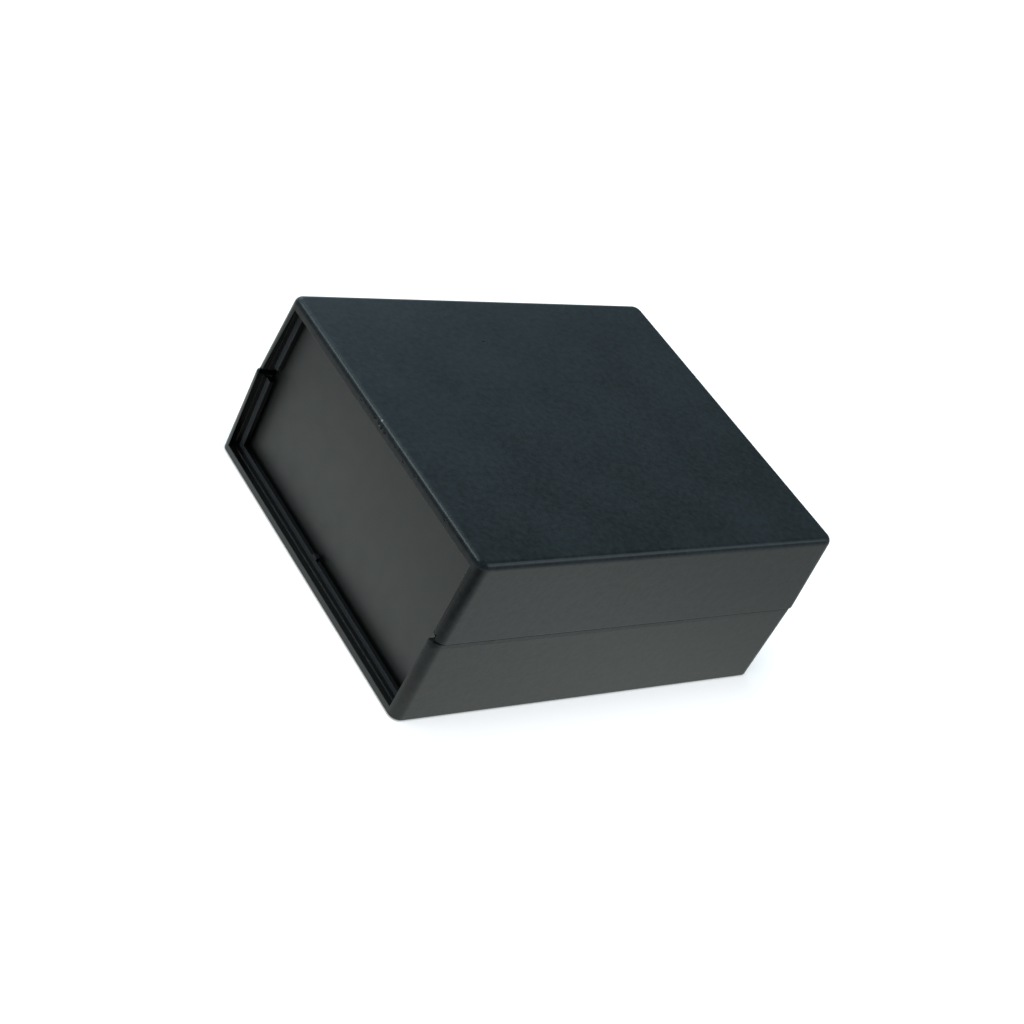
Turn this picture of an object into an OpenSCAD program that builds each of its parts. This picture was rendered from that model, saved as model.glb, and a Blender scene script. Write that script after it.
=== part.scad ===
// Plastic project box: two moulded half shells that meet halfway up, with a flat panel
// held in grooves at each open end and four screws driven up from the underside.
// X runs from panel to panel, Y across the box and Z up; the origin is the middle of the underside.

/* [Case] */
// Length of each shell between its open ends, at the seam
case_l = 120; // [100:1:180]
// Width of the case at the seam
case_w = 100; // [90:1:150]
// Height of the bottom shell
base_h = 26; // [22:0.5:45]
// Height of the top shell
lid_h = 24.4; // [24:0.2:45]
// Gap left between the shells at the seam
seam_gap = 0.1; // [0.05:0.05:0.3]
// How far the top shell sits toward the rear, which is the play in the grooves and screw holes
lid_shift = 0.6; // [0:0.1:0.8]

/* [Outer form] */
// Radius of the four upright corners
corner_r = 2.8; // [2:0.2:5]
// Radius round the edge of the roof
roof_edge_r = 1.8; // [0.6:0.2:1.8]
// Bevel round the edge of the underside
foot_bevel = 0.5; // [0.2:0.1:1]
// How far the ends of the bottom shell lean in at the underside
base_end_draft = 0.1; // [0.1:0.1:1.5]
// How far the sides of the bottom shell lean in at the underside
base_side_draft = 0.1; // [0.1:0.1:1.2]
// How far the ends of the top shell lean in at the roof
lid_end_draft = 1.4; // [0.1:0.1:1.5]
// How far the sides of the top shell lean in at the roof
lid_side_draft = 0.5; // [0.1:0.1:1.2]
// Height of the upright band along both sides of the seam
rim_land = 0.4; // [0.2:0.1:1]

/* [Walls] */
// Thickness of the floor
floor_t = 2.6; // [2:0.1:3.6]
// Thickness of the roof
roof_t = 3; // [2.4:0.1:4]
// Thickness of the side walls at the seam
wall_t = 3; // [2.8:0.1:4]
// How far the inside of each bottom wall leans in at the floor
base_bay_draft = 0.5; // [0.2:0.1:1.2]
// How far the inside of each top wall leans in at the roof
lid_bay_draft = 1.2; // [0.6:0.1:1.6]
// Depth of the relieved mouth at each open end
mouth_l = 1.9; // [1:0.1:2.6]
// How much wider the mouth is than the rest of the inside, on each side
mouth_relief = 0.25; // [0.1:0.05:0.5]

/* [Panels] */
// Thickness of a panel
panel_t = 2; // [1.5:0.1:3]
// Cut across each corner of a panel
panel_corner = 1; // [0.5:0.1:3]
// Distance from the open end to the outer rib of the panel groove
groove_setback = 3.2; // [2.6:0.1:5]
// Thickness of the two ribs of a groove
rib_t = 1.2; // [1:0.1:2]
// How far the groove ribs stand off the floor and the roof
rib_h = 1.3; // [1.2:0.1:2]
// How far the groove ribs stand off the side walls
side_rib_h = 1.7; // [1.2:0.1:2.4]
// Clearance on each face of a panel in its groove
groove_clear = 0.1; // [0.05:0.05:0.3]
// Clearance at the sides and the top of a panel, which stands on the floor
panel_edge_clear = 0.2; // [0.1:0.05:0.3]
// Width of the moulding nub on the outer rib of the bottom shell
nub_w = 1.8; // [1:0.1:3]
// Height of the nub above the rib
nub_h = 0.7; // [0.4:0.1:1]
// Distance of the nub from the middle of the rib
nub_off = 2; // [-10:0.5:10]

/* [Seam] */
// Height of the tongue that locates the top shell
tongue_h = 1.5; // [1:0.1:2.5]
// Thickness of the tongue
tongue_t = 1.2; // [1:0.1:1.6]
// Clearance round the tongue in its rebate
tongue_clear = 0.15; // [0.1:0.05:0.3]
// Gap between the end of a side rib and the seam, beyond the tongue
rib_end_gap = 1; // [0.5:0.1:3]

/* [Screws] */
// Distance of the screws from the open ends
screw_setback = 16; // [16:1:24]
// Diameter of the screw's shank, without its thread
screw_d = 2.4; // [2:0.1:3]
// Length of the shank below the head
screw_l = 16; // [13:1:18]
// Diameter of the screw head
head_d = 6; // [5.5:0.1:6.5]
// Height of the screw head
head_h = 2.2; // [1.8:0.1:3]
// Bevel round the head
head_bevel = 0.3; // [0.1:0.1:0.6]
// Width of the cross recess in the head
drive_w = 3.2; // [2.4:0.1:3.6]
// Width of each slot of the cross recess
drive_slot = 0.8; // [0.6:0.1:1.2]
// Depth of the cross recess
drive_depth = 1.2; // [0.8:0.1:1.5]
// Thickness of the web that each screw head clamps
web_t = 7; // [5:0.5:9]
// Running clearance of the shank in the top boss, on the radius
shank_clear = 0.05; // [0.03:0.01:0.1]
// Clearance round the shank and head in the bottom boss, on the radius, beyond the play
hole_clear = 0.25; // [0.15:0.05:0.5]
// Depth of the pilot hole beyond the screw's tip
pilot_spare = 2; // [1:0.5:4]
// Wall of the bottom boss round its counterbore
boss_wall = 1.2; // [1:0.1:2]
// Outer diameter of the top boss
lid_boss_d = 7; // [6.4:0.2:9]
// How far the bottom boss is let into the side wall
boss_sink = 1; // [0.6:0.1:1.4]
// Thickness of the gussets that brace the top bosses
gusset_t = 1.4; // [1:0.1:2]
// Reach of the gusset along the roof
gusset_l = 7; // [4:0.5:9]

/* [Board mounts] */
// Spacing of the board posts along the case
post_dx = 70; // [30:1:74]
// Spacing of the board posts across the case
post_dy = 60; // [30:1:64]
// Diameter of a board post
post_d = 6; // [5:0.2:8]
// Height of a board post above the floor
post_h = 5; // [4:0.5:10]
// Diameter of the pilot hole in a post
post_hole_d = 2.2; // [1.8:0.1:3]
// Thickness of the floor left under a pilot hole
post_floor = 1.6; // [1:0.1:1.8]
// Number of upright board guides on each side wall
guide_count = 3; // [1:1:3]
// Spacing of the board guides along the case
guide_pitch = 22; // [10:1:26]
// Width of the slot between the two ribs of a guide
guide_slot = 1.8; // [1.6:0.1:2.4]
// Thickness of a guide rib
guide_rib_t = 1.2; // [0.8:0.1:1.6]
// How far a guide rib stands off the wall at the seam
guide_rib_h = 1.6; // [1:0.1:2.5]
// Distance of the guides' ends from the floor and the seam
guide_end = 1.5; // [0:0.5:4]

/* [Hidden] */
$fn = 48;

// Overlap that makes two forms one solid, and overshoot of a cut past the form it cuts
join = 0.6;
// Segments round a corner of the two outer forms
corner_fn = 32;

half_l = case_l / 2;
half_w = case_w / 2;
lid_z = base_h + seam_gap;
top_z = lid_z + lid_h;
roof_z = top_z - roof_t;

// Half the inside width at the seam, at the floor and at the roof
bay_seam = half_w - wall_t;
bay_floor = bay_seam - base_bay_draft;
bay_roof = bay_seam - lid_bay_draft;

// The groove takes the panel and the play between the shells
groove_w = panel_t + lid_shift + 2 * groove_clear;
groove_x = half_l - groove_setback - rib_t - groove_w;
panel_w = 2 * (bay_seam - panel_edge_clear);
panel_h = roof_z - panel_edge_clear - floor_t;
// The panel stands where the grooves of both shells line up
panel_x = half_l - lid_shift / 2 - groove_setback - rib_t - groove_clear - panel_t;

// The tongue stops clear of the grooves
tongue_l = 2 * (groove_x - rib_t - join);
rebate_h = tongue_h + tongue_clear;

// Bottom bosses are wide enough for the head to shift with the play
counterbore_r = head_d / 2 + lid_shift + hole_clear;
base_boss_r = counterbore_r + boss_wall;
screw_hole_r = screw_d / 2 + lid_shift + hole_clear;
screw_x = half_l - screw_setback;
screw_y = bay_seam + boss_sink - base_boss_r;
head_z = base_h - web_t;
pilot_top = head_z + screw_l + pilot_spare;

post_z = floor_t + post_h;

// Puts its children at the four places mirrored about the middle
module four_corners(dx, dy) {
    for (side_x = [-1, 1], side_y = [-1, 1])
        translate([side_x * dx, side_y * dy, 0])
            children();
}

// Repeats its children at both ends of the case
module both_ends() {
    for (turn = [0, 180])
        rotate([0, 0, turn])
            children();
}

// Repeats its children on both side walls
module both_sides() {
    children();
    mirror([0, 1, 0])
        children();
}

// Extrudes a Y-Z outline along X, from x0 to x1
module along_x(x0, x1) {
    translate([x0, 0, 0])
        rotate([90, 0, 90])
            linear_extrude(x1 - x0)
                children();
}

// Block with its low corner at p and its high corner at q
module block(p, q) {
    translate(p)
        cube(q - p);
}

// Outline of the inside of the bottom shell, moved in by side from its walls and by rise
// from its floor; open past the seam
module base_bay(side = 0, rise = 0) {
    polygon([
        [-bay_floor + side, floor_t + rise],
        [bay_floor - side, floor_t + rise],
        [bay_seam - side, base_h],
        [bay_seam - side, base_h + join],
        [-bay_seam + side, base_h + join],
        [-bay_seam + side, base_h]
    ]);
}

// Outline of the inside of the top shell, moved in by side from its walls and by drop
// from its roof; open below the seam
module lid_bay(side = 0, drop = 0) {
    polygon([
        [-bay_seam + side, lid_z - join],
        [bay_seam - side, lid_z - join],
        [bay_seam - side, lid_z],
        [bay_roof - side, roof_z - drop],
        [-bay_roof + side, roof_z - drop],
        [-bay_seam + side, lid_z]
    ]);
}

// Outer form of the bottom shell before it is hollowed
module base_form() {
    hull() {
        translate([0, 0, base_h - rim_land])
            four_corners(half_l - corner_r, half_w - corner_r)
                cylinder(r = corner_r, h = rim_land, $fn = corner_fn);
        four_corners(half_l - base_end_draft - corner_r, half_w - base_side_draft - corner_r)
            cylinder(r1 = corner_r - foot_bevel, r2 = corner_r, h = foot_bevel, $fn = corner_fn);
    }
}

// Outer form of the top shell, with its rounded roof edge
module lid_form() {
    hull() {
        translate([0, 0, lid_z])
            four_corners(half_l - corner_r, half_w - corner_r)
                cylinder(r = corner_r, h = rim_land, $fn = corner_fn);
        translate([0, 0, top_z - roof_edge_r])
            four_corners(half_l - lid_end_draft - corner_r, half_w - lid_side_draft - corner_r)
                rotate_extrude($fn = corner_fn)
                    roof_edge_section();
    }
}

// Section of one roof corner, turned about its upright axis
module roof_edge_section() {
    square([corner_r - roof_edge_r, roof_edge_r]);
    translate([corner_r - roof_edge_r, 0])
        intersection() {
            circle(r = roof_edge_r, $fn = corner_fn);
            square(roof_edge_r);
        }
}

// The two ribs of a panel groove at the front end; the children give the rib's outline
module groove_ribs() {
    for (x = [groove_x - rib_t, groove_x + groove_w])
        translate([-x - rib_t, 0, 0])
            children();
}

// Rib outline of one shell, from inside its wall to its crest
module base_rib() {
    difference() {
        base_bay(-join, -join);
        base_bay(side_rib_h, rib_h);
    }
}

module lid_rib() {
    difference() {
        lid_bay(-join, -join);
        lid_bay(side_rib_h, rib_h);
    }
}

// Upright board guides on one side wall; y0 is inside the wall and y1 is the crest
module guide_ribs(z0, z1) {
    guide_step = guide_slot + guide_rib_t;
    for (i = [0 : guide_count - 1], side = [-1, 1]) {
        x = (i - (guide_count - 1) / 2) * guide_pitch + side * guide_step / 2;
        block([x - guide_rib_t / 2, bay_seam - guide_rib_h, z0], [x + guide_rib_t / 2, bay_seam + join, z1]);
    }
}

// Nub left by the mould on the crest of the front outer rib
module rib_nub() {
    crest_z = floor_t + rib_h;
    nub_x = -groove_x - groove_w - rib_t;
    block([nub_x, nub_off - nub_w / 2, crest_z - join], [nub_x + rib_t, nub_off + nub_w / 2, crest_z + nub_h]);
}

module bottom_shell() {
    color("#303538")
    translate([-lid_shift / 2, 0, 0])
    difference() {
        union() {
            difference() {
                base_form();
                along_x(-half_l - join, half_l + join)
                    base_bay();
                both_ends()
                    along_x(-half_l - join, -half_l + mouth_l)
                        base_bay(-mouth_relief, -mouth_relief);
            }
            // Groove ribs, which stop short of the seam
            both_ends()
                intersection() {
                    groove_ribs()
                        along_x(0, rib_t)
                            base_rib();
                    block([-half_l, -half_w, 0], [0, half_w, base_h - rib_end_gap]);
                }
            rib_nub();
            // Tongue along each side wall
            both_sides()
                block(
                    [-tongue_l / 2, bay_seam, base_h - join],
                    [tongue_l / 2, bay_seam + tongue_t, base_h + tongue_h]
                );
            // Bosses, board posts and guides, rooted in the floor
            translate([0, 0, floor_t - join]) {
                four_corners(screw_x, screw_y)
                    cylinder(r = base_boss_r, h = base_h - floor_t + join);
                four_corners(post_dx / 2, post_dy / 2)
                    cylinder(d = post_d, h = post_h + join);
            }
            both_sides()
                guide_ribs(floor_t - join, base_h - guide_end);
        }
        // Grooves let into the side walls, so that the panel's straight edges pass
        both_ends()
            block(
                [-groove_x - groove_w, -bay_seam, floor_t],
                [-groove_x, bay_seam, base_h + join]
            );
        // Counterbores and clearance holes for the screws
        four_corners(screw_x, screw_y) {
            translate([0, 0, -join])
                cylinder(r = counterbore_r, h = head_z + join);
            cylinder(r = screw_hole_r, h = base_h + join);
        }
        // Pilot holes of the board posts
        four_corners(post_dx / 2, post_dy / 2)
            translate([0, 0, post_floor])
                cylinder(d = post_hole_d, h = post_z);
    }
}

module top_shell() {
    color("#2a3136")
    translate([lid_shift / 2, 0, 0])
    difference() {
        union() {
            difference() {
                lid_form();
                along_x(-half_l - join, half_l + join)
                    lid_bay();
                both_ends()
                    along_x(-half_l - join, -half_l + mouth_l)
                        lid_bay(-mouth_relief, -mouth_relief);
            }
            // Groove ribs, which stop short of the tongue
            both_ends()
                intersection() {
                    groove_ribs()
                        along_x(0, rib_t)
                            lid_rib();
                    block([-half_l, -half_w, lid_z + rebate_h + rib_end_gap], [0, half_w, top_z]);
                }
            intersection() {
                union() {
                    four_corners(screw_x, screw_y)
                        translate([0, 0, lid_z])
                            lid_boss();
                    both_sides() {
                        guide_ribs(lid_z + rebate_h + guide_end, roof_z + join);
                        boss_webs();
                    }
                }
                along_x(-half_l, half_l)
                    lid_bay(-join, -join);
            }
        }
        both_ends()
            block(
                [-groove_x - groove_w, -bay_seam, lid_z - join],
                [-groove_x, bay_seam, roof_z]
            );
        // Rebate for the tongue, open at both ends
        both_sides()
            block(
                [-half_l - join, bay_seam - tongue_clear, lid_z - join],
                [half_l + join, bay_seam + tongue_t + tongue_clear, lid_z + rebate_h]
            );
        four_corners(screw_x, screw_y)
            translate([0, 0, lid_z - join])
                cylinder(r = screw_d / 2 + shank_clear, h = pilot_top - lid_z + join);
    }
}

// Top boss at one corner, with a web out to the side wall and triangular gussets along the roof
module lid_boss() {
    boss_h = roof_z - lid_z + join;
    cylinder(d = lid_boss_d, h = boss_h);
    rotate([90, 0, 0])
        linear_extrude(gusset_t, center = true)
            polygon([[-gusset_l, boss_h], [gusset_l, boss_h], [0, boss_h - 2 * gusset_l]]);
}

// Webs between the top bosses and one side wall
module boss_webs() {
    for (x = [-screw_x, screw_x])
        block(
            [x - gusset_t / 2, screw_y, lid_z + rebate_h + rib_end_gap],
            [x + gusset_t / 2, half_w, roof_z + join]
        );
}

// One panel, standing in the grooves at the front end
module panel() {
    along_x(-panel_x - panel_t, -panel_x)
        translate([0, floor_t])
            polygon([
                [-panel_w / 2 + panel_corner, 0],
                [panel_w / 2 - panel_corner, 0],
                [panel_w / 2, panel_corner],
                [panel_w / 2, panel_h - panel_corner],
                [panel_w / 2 - panel_corner, panel_h],
                [-panel_w / 2 + panel_corner, panel_h],
                [-panel_w / 2, panel_h - panel_corner],
                [-panel_w / 2, panel_corner]
            ]);
}

module front_panel() {
    color("#404342")
        panel();
}

module rear_panel() {
    color("#404342")
        rotate([0, 0, 180])
            panel();
}

// Self-tapping screw with its head down, seated under the web
module screw() {
    difference() {
        union() {
            translate([0, 0, -head_h])
                cylinder(d1 = head_d - 2 * head_bevel, d2 = head_d, h = head_bevel);
            translate([0, 0, head_bevel - head_h])
                cylinder(d = head_d, h = head_h - head_bevel);
            translate([0, 0, -head_h])
                cylinder(d = screw_d, h = head_h + screw_l - screw_d / 2);
            translate([0, 0, screw_l - screw_d / 2])
                cylinder(d1 = screw_d, d2 = screw_d / 2, h = screw_d / 2);
        }
        for (turn = [0, 90])
            rotate([0, 0, turn])
                translate([0, 0, -head_h])
                    cube([drive_w, drive_slot, 2 * drive_depth], center = true);
    }
}

module case_screws() {
    color("#55585a")
        translate([lid_shift / 2, 0, head_z])
            four_corners(screw_x, screw_y)
                screw();
}

bottom_shell();
top_shell();
front_panel();
rear_panel();
case_screws();
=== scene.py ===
"""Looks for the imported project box: grained black plastic, plated screws and a small studio.

The CAD nodes keep their own shapes. This script gives them materials, with the wear in them,
then adds the floor, the world, the lamps and the camera. The front of the box looks toward -X
and its left side toward +Y.
"""

import bpy
from mathutils import Matrix, Vector

# The sizes and places named below are in millimetres unless a comment says metres
MM = 0.001

# Faces of the shells within these limits are inside the box, where the mould was polished and where
# painted shade darkens the colour
INSIDE_HALF_WIDTH = 47.35
INSIDE_FLOOR = 2.3
INSIDE_ROOF = 47.8

# The rims start this far from the middle along X, and the step in their floor is below this height
RIM_FROM = 57.4
FLOOR_STEP_TOP = 3.2
# A face looks along X if its normal has more than this much X in it, either way
FACES_END = 0.7

# The wear below the seam grows from one height to the other, and its line is this uneven
SEAM_WORN_FROM = 25.1
SEAM_LEVEL = 26.05
SEAM_RAGGED = 0.8
# It fades along X between these places, down to this much
SEAM_FADES = (10, 35)
SEAM_FADED = 0.25

# Radii that the materials give the edges
OUTER_EDGE = 0.2
INNER_EDGE = 0.06
PANEL_EDGE = 0.15
SCREW_EDGE = 0.1

# How deep each material's grain is, and how many times deeper than the grain the wear is
SHELL_GRAIN = 0.03
PANEL_GRAIN = 0.004
STEEL_GRAIN = 0.01
MARK_DEPTH = 25
SEAM_DEPTH = 4
SCRATCH_DEPTH = 3

# Small marks, each as (middle, half sizes)
SHELL_MARKS = (
    ((-58.2, 2.6, 49.4), (0.5, 0.9, 0.5)),
    ((-58.3, 0.5, 49.3), (0.6, 0.6, 0.6)),
    ((-58.3, -0.8, 49.3), (0.7, 0.6, 0.7)),
    ((-58.3, -2.6, 49.2), (0.6, 0.9, 0.6)),
    ((-58.2, -7.8, 49.4), (0.5, 0.8, 0.4)),
    ((-58.35, -12.4, 48.9), (0.5, 0.8, 0.4)),
    ((-58.3, -17.9, 49.2), (0.5, 0.9, 0.4)),
    ((-58.4, 9.5, 49.0), (0.4, 1.2, 0.4)),
    ((-58.3, -33.0, 49.2), (0.4, 1.0, 0.4)),
    ((-8.8, 30.9, 50.5), (0.5, 0.5, 0.5)),
    ((-59.6, -47.4, 28.0), (0.4, 0.35, 0.5)),
    ((-60.2, 49.0, 25.6), (0.5, 0.5, 0.6)),
)
# Pale flecks on the front edge of the roof, lighter than the plastic around them
PALE_MARKS = (
    ((-57.6, 1.0, 50.15), (0.35, 0.45, 0.35)),
    ((-58.4, 0.5, 49.1), (0.3, 0.3, 0.3)),
    ((-58.7, -2.0, 48.8), (0.3, 0.6, 0.3)),
)
# The scratch low on the front panel, with its turn about the axes in radians
SCRATCH = (((-55.2, 7.8, 10.5), (0.4, 4.8, 0.18)),)
SCRATCH_TURN = (-0.32, 0, 0)
# Where the paper is dark as the box reflects it: off the front right corner, an eighth turned
DARK_PAPER = (((-120, -120, 0), (90, 110, 100)),)
DARK_PAPER_TURN = (0, 0, 0.7854)

WHITE = (1, 1, 1, 1)
BOTTOM_BLACK = (0.006, 0.0075, 0.0075)
TOP_BLACK = (0.006, 0.008, 0.009)
# Painted shade: the inside faces get a darker black than the same plastic outside
INSIDE_SHADE_BLACK = (0.002, 0.002, 0.002, 1)
# Painted light: the fronts of the ribs, which look toward the open ends, are made this much lighter
# than the rest of the inside
PAINTED_LIGHT_GREY = (0.044, 0.046, 0.049, 1)
# Grey of the pale flecks on the roof's front edge
PALE_FLECK_GREY = (0.15, 0.17, 0.19, 1)
PANEL_TONES = ((0.004, 0.0044, 0.0043, 1), (0.006, 0.0066, 0.0064, 1))
STEEL_TONES = ((0.34, 0.34, 0.33, 1), (0.5, 0.5, 0.49, 1))
PAPER_GREY = (0.8, 0.8, 0.8, 1)
PAPER_SHEEN = (0.92, 1.0, 0.975, 1)
ROOM_BLUE = (0.141, 0.196, 0.228)

# Roughness inside the shells, as a grey that a colour node can mix in
POLISHED = (0.2, 0.2, 0.2, 1)

# The camera stands where the outline of the box in the photograph puts it
CAMERA_AT = Vector((-330.7, -287.65, 303.44)) * MM
CAMERA_RIGHT = Vector((0.77527, -0.48539, 0.40417))
CAMERA_UP = Vector((0.04244, 0.67847, 0.7334))
LENS = 69.72
SENSOR = 36.0

# In metres: what the lamps face, the side of the floor, and how near the camera's view begins
BOX_MIDDLE = Vector((0, 0, 0.025))
FLOOR_SIDE = 6
NEAR_LIMIT = 0.01


def feed(tree, node, inputs):
    """Sets a node's inputs, each to a number, a colour, or a socket to link from."""
    for name, value in inputs.items():
        if isinstance(value, bpy.types.NodeSocket):
            tree.links.new(value, node.inputs[name])
        else:
            node.inputs[name].default_value = value


def add(tree, kind, inputs=None, **settings):
    """Adds a shader node with its settings and inputs."""
    node = tree.nodes.new("ShaderNode" + kind)
    for name, value in settings.items():
        setattr(node, name, value)
    feed(tree, node, inputs or {})
    return node


def calc(tree, operation, a, b=0.0):
    """The result of a Math node on two numbers or sockets."""
    return add(tree, "Math", {0: a, 1: b}, operation=operation).outputs["Value"]


def times(tree, first, *others):
    """The product of numbers or sockets."""
    product = first
    for other in others:
        product = calc(tree, "MULTIPLY", product, other)
    return product


def ramp(tree, value, span, levels, **settings):
    """Goes from the first level to the second as the value crosses the span."""
    return add(tree, "MapRange", {
        "Value": value,
        "From Min": span[0],
        "From Max": span[1],
        "To Min": levels[0],
        "To Max": levels[1],
    }, **settings).outputs["Result"]


def noise(tree, place, scale, detail, roughness=0.5):
    """Noise from 0 to 1, whose largest features are about 1 / scale metres across."""
    return add(tree, "TexNoise", {
        "Vector": place,
        "Scale": scale,
        "Detail": detail,
        "Roughness": roughness,
    }).outputs["Fac"]


def mix(tree, amount, first, second):
    """Goes from the first colour to the second as the amount goes from 0 to 1."""
    blend = add(tree, "MixRGB", {"Fac": amount, "Color1": first, "Color2": second})
    return blend.outputs["Color"]


def scaled(tree, colour, factor):
    """A colour times a factor."""
    product = add(tree, "VectorMath", {0: colour, "Scale": factor}, operation="SCALE")
    return product.outputs["Vector"]


def axes_of(tree, vector):
    """The outputs X, Y and Z of a vector."""
    return add(tree, "SeparateXYZ", {"Vector": vector}).outputs


def relief(tree, height, depth, radius, samples=6):
    """The normal of bumps this deep on edges of this radius, both in metres."""
    edge = add(tree, "Bevel", {"Radius": radius}, samples=samples).outputs["Normal"]
    bumps = add(tree, "Bump", {"Height": height, "Distance": depth, "Normal": edge})
    return bumps.outputs["Normal"]


def new_material(name):
    """A node material, as (material, tree, shader, place on the object)."""
    material = bpy.data.materials.new(name)
    material.use_nodes = True
    tree = material.node_tree
    place = add(tree, "TexCoord").outputs["Object"]
    return material, tree, tree.nodes["Principled BSDF"], place


def marks_mask(tree, place, marks, turn=(0, 0, 0)):
    """1 in the middle of each mark, falling to 0 at its edge."""
    mask = None
    for middle, half_sizes in marks:
        local = add(tree, "Mapping", {
            "Vector": place,
            "Location": [v * MM for v in middle],
            "Rotation": turn,
            "Scale": [v * MM for v in half_sizes],
        }, vector_type="TEXTURE").outputs["Vector"]
        ball = add(tree, "TexGradient", {"Vector": local}, gradient_type="SPHERICAL")
        spot = ball.outputs["Fac"]
        mask = spot if mask is None else calc(tree, "MAXIMUM", mask, spot)
    return mask


def inside_mask(tree, place):
    """1 on the faces that are inside the box and 0 on the outer ones."""
    axes = axes_of(tree, place)
    between = calc(tree, "LESS_THAN", calc(tree, "ABSOLUTE", axes["Y"]), INSIDE_HALF_WIDTH * MM)
    above = calc(tree, "GREATER_THAN", axes["Z"], INSIDE_FLOOR * MM)
    below = calc(tree, "LESS_THAN", axes["Z"], INSIDE_ROOF * MM)
    return times(tree, between, above, below)


def between_rims_mask(tree, place):
    """1 between the two rims and 0 in them."""
    along = axes_of(tree, place)["X"]
    return calc(tree, "LESS_THAN", calc(tree, "ABSOLUTE", along), RIM_FROM * MM)


def floor_step_mask(tree, place):
    """1 round the step in the floor of each rim, whose edge is rounder than the others inside."""
    low = calc(tree, "LESS_THAN", axes_of(tree, place)["Z"], FLOOR_STEP_TOP * MM)
    in_rim = calc(tree, "SUBTRACT", 1, between_rims_mask(tree, place))
    return times(tree, low, in_rim)


def rib_fronts_mask(tree, place):
    """1 on the fronts of the ribs, which look toward an open end, and 0 on the other faces."""
    facing = axes_of(tree, add(tree, "NewGeometry").outputs["Normal"])
    looks_out = calc(tree, "GREATER_THAN", calc(tree, "ABSOLUTE", facing["X"]), FACES_END)
    return times(tree, looks_out, between_rims_mask(tree, place))


def seam_wear(tree, place):
    """0 to 1 toward the rim of the bottom shell at the seam, ragged, and weaker toward the rear."""
    axes = axes_of(tree, place)
    ragged = times(tree, noise(tree, place, scale=700, detail=3), SEAM_RAGGED * MM)
    level = calc(tree, "ADD", axes["Z"], ragged)
    rim_level = SEAM_LEVEL + SEAM_RAGGED / 2
    toward_rim = ramp(tree, level, (SEAM_WORN_FROM * MM, rim_level * MM), (0, 1))
    toward_front = ramp(tree, axes["X"], [v * MM for v in SEAM_FADES], (1, SEAM_FADED))
    below = calc(tree, "LESS_THAN", axes["Z"], SEAM_LEVEL * MM)
    return times(tree, below, toward_rim, toward_front)


def shell_plastic(name, colour):
    """Black plastic with a spark-eroded grain outside and a polished face inside. Inside, the
    colour is painted darker as shade, and the fronts of the ribs have a painted light grey.
    """
    material, tree, shader, place = new_material(name)
    inside = inside_mask(tree, place)
    outside = calc(tree, "SUBTRACT", 1, inside)
    marks = marks_mask(tree, place, SHELL_MARKS)
    cloud = noise(tree, place, scale=45, detail=5)
    grain = noise(tree, place, scale=650, detail=4, roughness=0.65)

    mottle = calc(tree, "ADD", grain, times(tree, cloud, 0.5))
    outer = scaled(tree, colour, ramp(tree, mottle, (0.5, 1), (0.2, 1.9)))
    # Inside, the rib fronts get painted light and the other faces painted shade
    inner = mix(tree, rib_fronts_mask(tree, place), INSIDE_SHADE_BLACK, PAINTED_LIGHT_GREY)
    whole = mix(tree, inside, outer, inner)
    pale_flecks = times(tree, marks_mask(tree, place, PALE_MARKS), 2)

    worn = ramp(tree, cloud, (0, 1), (0.26, 0.36))
    smooth = mix(tree, inside, worn, POLISHED)

    sharp = times(tree, inside, calc(tree, "SUBTRACT", 1, floor_step_mask(tree, place)))
    radius = ramp(tree, sharp, (0, 1), (OUTER_EDGE * MM, INNER_EDGE * MM))
    pits = times(tree, grain, outside)
    worn_seam = times(tree, seam_wear(tree, place), SEAM_DEPTH)
    dents = calc(tree, "ADD", times(tree, marks, MARK_DEPTH), worn_seam)
    height = calc(tree, "SUBTRACT", pits, dents)

    feed(tree, shader, {
        "Base Color": mix(tree, pale_flecks, whole, PALE_FLECK_GREY),
        "Roughness": calc(tree, "ADD", smooth, times(tree, marks, 0.5)),
        "Normal": relief(tree, height, SHELL_GRAIN * MM, radius, samples=8),
    })
    return material


def panel_plastic():
    """The panels' smooth satin plastic, with one faint scratch."""
    material, tree, shader, place = new_material("panel_plastic")
    scratch = marks_mask(tree, place, SCRATCH, SCRATCH_TURN)
    cloud = noise(tree, place, scale=30, detail=4)
    blotch = noise(tree, place, scale=220, detail=3)
    grain = noise(tree, place, scale=1500, detail=2)
    satin = ramp(tree, calc(tree, "ADD", cloud, blotch), (0.6, 1.4), (0.34, 0.44))
    height = calc(tree, "SUBTRACT", grain, times(tree, scratch, SCRATCH_DEPTH))
    feed(tree, shader, {
        "Base Color": mix(tree, cloud, *PANEL_TONES),
        "Roughness": calc(tree, "ADD", satin, times(tree, scratch, 0.1)),
        "Specular IOR Level": 0.8,
        "Normal": relief(tree, height, PANEL_GRAIN * MM, PANEL_EDGE * MM),
    })
    return material


def screw_steel():
    """Zinc-plated steel, a little uneven."""
    material, tree, shader, place = new_material("screw_steel")
    cloud = noise(tree, place, scale=400, detail=3)
    feed(tree, shader, {
        "Base Color": mix(tree, cloud, *STEEL_TONES),
        "Metallic": 1,
        "Roughness": ramp(tree, cloud, (0, 1), (0.25, 0.4)),
        "Normal": relief(tree, cloud, STEEL_GRAIN * MM, SCREW_EDGE * MM),
    })
    return material


def dress(node, material):
    """Gives a CAD node one material."""
    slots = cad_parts[node].data.materials
    slots.clear()
    slots.append(material)


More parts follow.
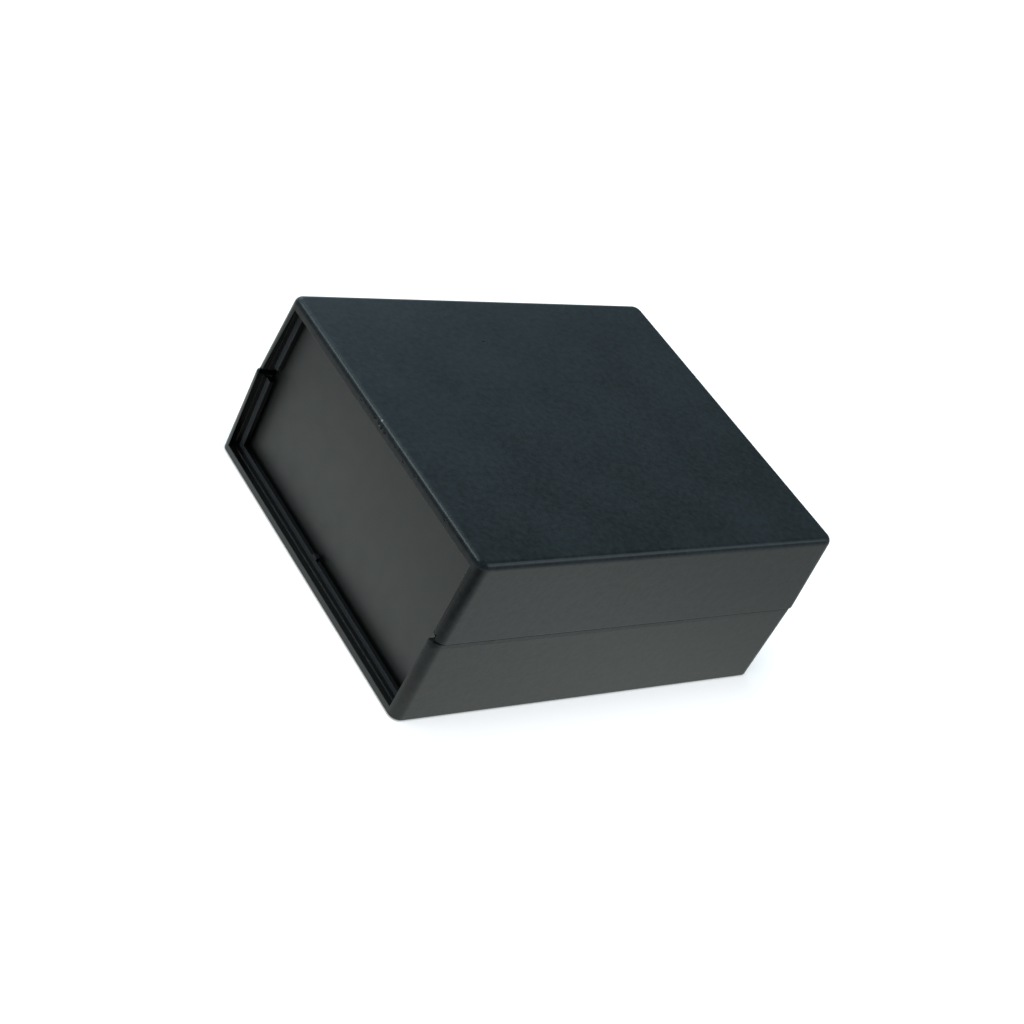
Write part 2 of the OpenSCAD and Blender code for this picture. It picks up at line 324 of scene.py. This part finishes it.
def white_paper():
    """Paper on which the camera sees the shadow, and the box only a soft sheen.

    Away from the box it turns pure white. The sheen fades toward the rear, past the front and
    most of all off the front right corner.
    """
    paper, tree, shader, place = new_material("white_paper")
    ray = add(tree, "LightPath").outputs
    away = add(tree, "VectorMath", {0: place}, operation="LENGTH").outputs["Value"]
    lift = ramp(tree, away, (0.15, 0.55), (0.35, 1))
    feed(tree, shader, {
        "Base Color": PAPER_GREY,
        "Roughness": 0.9,
        "Emission Color": WHITE,
        "Emission Strength": times(tree, ray["Is Camera Ray"], lift),
    })

    along = axes_of(tree, place)["X"]
    rearward = ramp(tree, along, (0, 0.12), (0.87, 0.58), interpolation_type="SMOOTHSTEP")
    forward = ramp(tree, along, (-0.12, -0.07), (0.62, 1), interpolation_type="SMOOTHSTEP")
    dark = marks_mask(tree, place, DARK_PAPER, DARK_PAPER_TURN)
    left_over = ramp(tree, dark, (0, 0.75), (1, 0.12))
    strength = times(tree, rearward, forward, left_over)
    sheen = add(tree, "Emission", {"Color": PAPER_SHEEN, "Strength": strength})
    seen = add(tree, "MixShader", {
        "Fac": ray["Is Glossy Ray"],
        1: shader.outputs["BSDF"],
        2: sheen.outputs["Emission"],
    })
    feed(tree, tree.nodes["Material Output"], {"Surface": seen.outputs["Shader"]})
    return paper


def paper_floor():
    """The sheet of paper that the box stands on."""
    bpy.ops.mesh.primitive_plane_add(size=FLOOR_SIDE)
    floor = bpy.context.object
    floor.name = "floor"
    floor.data.materials.append(white_paper())


def studio_world():
    """White for the camera, and for the box a dim blue room.

    Factors brighten the room to the left and front left, and dim it to the front. Low down
    one more doubles it on the right and halves it on the left.
    """
    world = bpy.data.worlds.new("studio")
    bpy.context.scene.world = world
    world.use_nodes = True
    tree = world.node_tree
    ray = add(tree, "LightPath").outputs
    toward = axes_of(tree, add(tree, "TexCoord").outputs["Generated"])
    leftward = calc(tree, "SUBTRACT", toward["Y"], toward["X"])
    left = ramp(tree, toward["Y"], (0.55, 0.8), (1, 3))
    front_left = ramp(tree, leftward, (0.15, 0.35), (1, 2.6))
    low_down = ramp(tree, toward["Y"], (-0.5, 0.3), (2.2, 0.5))
    height = ramp(tree, toward["Z"], (0.05, 0.4), (low_down, 1))
    front = ramp(tree, toward["X"], (-0.25, 0.1), (0.42, 1))
    room = scaled(tree, ROOM_BLUE, times(tree, left, height, front_left, front))
    sky = mix(tree, ray["Is Camera Ray"], room, WHITE)
    feed(tree, tree.nodes["Background"], {"Color": sky})


def softbox(name, at, size, power, colour=(1, 1, 1), in_gloss=True):
    """A square lamp at a place in metres that faces the middle of the box."""
    lamp = bpy.data.lights.new(name, "AREA")
    lamp.shape = "SQUARE"
    lamp.size = size
    lamp.energy = power
    lamp.color = colour
    holder = bpy.data.objects.new(name, lamp)
    holder.location = at
    aim = BOX_MIDDLE - Vector(at)
    holder.rotation_euler = aim.to_track_quat("-Z", "Y").to_euler()
    holder.visible_glossy = in_gloss
    bpy.context.collection.objects.link(holder)


def photo_camera():
    """The camera that sees the box as the photograph does."""
    lens = bpy.data.cameras.new("camera")
    lens.lens = LENS
    lens.sensor_width = SENSOR
    lens.clip_start = NEAR_LIMIT
    camera = bpy.data.objects.new("camera", lens)
    turn = Matrix((CAMERA_RIGHT, CAMERA_UP, CAMERA_RIGHT.cross(CAMERA_UP))).transposed()
    camera.matrix_world = Matrix.Translation(CAMERA_AT) @ turn.to_4x4()
    bpy.context.collection.objects.link(camera)
    bpy.context.scene.camera = camera


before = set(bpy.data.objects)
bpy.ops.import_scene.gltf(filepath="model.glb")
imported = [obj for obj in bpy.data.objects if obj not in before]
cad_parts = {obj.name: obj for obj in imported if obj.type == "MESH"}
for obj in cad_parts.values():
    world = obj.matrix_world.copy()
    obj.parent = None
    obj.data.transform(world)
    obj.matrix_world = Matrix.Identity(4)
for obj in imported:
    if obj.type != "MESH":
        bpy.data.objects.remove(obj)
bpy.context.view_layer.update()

dress("bottom_shell", shell_plastic("bottom_plastic", BOTTOM_BLACK))
dress("top_shell", shell_plastic("top_plastic", TOP_BLACK))
panel = panel_plastic()
dress("front_panel", panel)
dress("rear_panel", panel)
dress("case_screws", screw_steel())

paper_floor()
studio_world()
softbox("overhead", (-0.25, -0.1, 1.3), size=0.8, power=15, in_gloss=False)
softbox("left", (-0.34, 0.44, 0.62), size=0.25, power=0.72, colour=(0.86, 1, 0.99))
softbox("right", (0.47, -0.39, 0.64), size=0.5, power=1.0, colour=(0.8, 0.93, 1))
photo_camera()
bpy.context.scene.view_settings.view_transform = "Standard"
